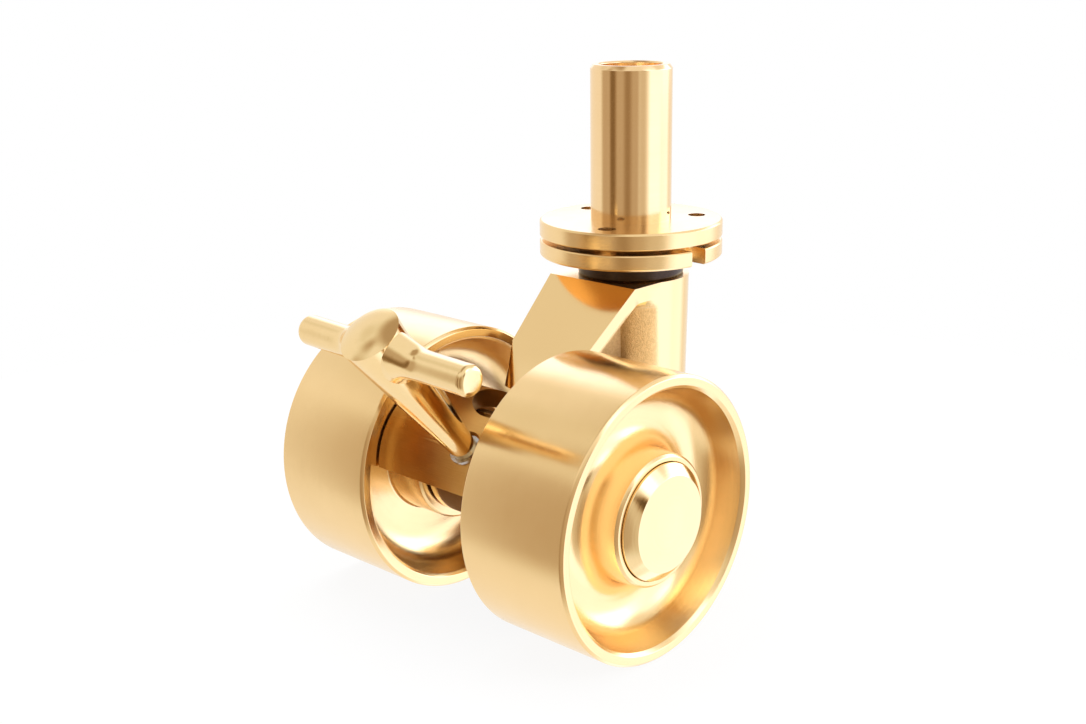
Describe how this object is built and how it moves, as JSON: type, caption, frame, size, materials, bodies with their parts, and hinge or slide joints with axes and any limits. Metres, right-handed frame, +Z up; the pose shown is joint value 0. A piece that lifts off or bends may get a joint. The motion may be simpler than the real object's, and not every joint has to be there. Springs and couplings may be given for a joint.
{
  "type": "piano castor",
  "caption": "Heavy brass castor for a piano leg: socket stem, round plates, swivelling fork, twin solid wheels and a screw-down brake with a T-handle.",
  "frame": {"origin": "centre of the leg plate's top face, on the swivel axis", "axes": "+Z up the stem, X along the wheel axle, the brake handle towards -Y"},
  "size_m": [0.1474, 0.1734, 0.1921],
  "materials": {
    "polished_brass": "polished and lacquered",
    "wheel_brass": "turned and polished",
    "cast_brass": "cast, with polished outer faces",
    "brushed_brass": "brushed across its curve",
    "dark_spacer": "dark bronzed, satin",
    "bronze": "machined bronze",
    "steel": "machined",
    "brake_lining": "moulded friction lining"
  },
  "bodies": {
    "leg_side": {"leg_plate": "polished_brass", "leg_stem": "polished_brass", "king_pin": "steel", "upper_race": "steel", "king_washer": "steel", "king_nut": "steel"},
    "ball_ring": {"thrust_balls": "steel", "ball_cage": "bronze"},
    "fork": {"swivel_plate": "polished_brass", "lower_race": "steel", "spacer_ring": "dark_spacer", "plate_dowel": "steel", "fork_casting": "cast_brass", "foot_cap": "cast_brass", "upper_bush": "bronze", "lower_bush": "bronze", "axle": "steel", "axle_set_screw": "steel", "guide_pins": "steel", "disc_springs": "steel", "thrust_washer_left": "bronze", "thrust_washer_right": "bronze", "axle_washer_left": "steel", "axle_washer_right": "steel", "axle_nut_left": "steel", "axle_nut_right": "steel"},
    "wheel_left": {"wheel_left": "wheel_brass", "wheel_bush_left": "bronze", "hub_cap_left": "polished_brass"},
    "wheel_right": {"wheel_right": "wheel_brass", "wheel_bush_right": "bronze", "hub_cap_right": "polished_brass"},
    "shoe": {"brake_shoe": "brushed_brass", "brake_lining_left": "brake_lining", "brake_lining_right": "brake_lining"},
    "handle": {"brake_handle": "polished_brass", "brake_stud": "steel", "stud_washer": "steel"}
  },
  "joints": [
    {"name": "swivel", "type": "hinge", "parent": "leg_side", "child": "fork", "pos_m": [0, 0, 0], "axis": [0, 0, 1], "continuous": true},
    {"name": "ball_ring_turn", "type": "hinge", "parent": "leg_side", "child": "ball_ring", "pos_m": [0, 0, 0], "axis": [0, 0, 1], "continuous": true},
    {"name": "wheel_left_spin", "type": "hinge", "parent": "fork", "child": "wheel_left", "pos_m": [0, -0.067, -0.0846], "axis": [1, 0, 0], "continuous": true},
    {"name": "wheel_right_spin", "type": "hinge", "parent": "fork", "child": "wheel_right", "pos_m": [0, -0.067, -0.0846], "axis": [1, 0, 0], "continuous": true},
    {"name": "shoe_slide", "type": "slide", "parent": "fork", "child": "shoe", "axis": [0, -0.6293, 0.7771], "range_m": [-0.0005, 0.0005]},
    {"name": "handle_turn", "type": "hinge", "parent": "shoe", "child": "handle", "pos_m": [0, -0.0899, -0.0693], "axis": [0, -0.6293, 0.7771], "range_deg": [-180, 180]}
  ],
  "couplings": [
    {"joint": "ball_ring_turn", "follows": "swivel", "ratio": 0.5},
    {"joint": "shoe_slide", "follows": "handle_turn", "m_per_rad": 0.00015914}
  ]
}
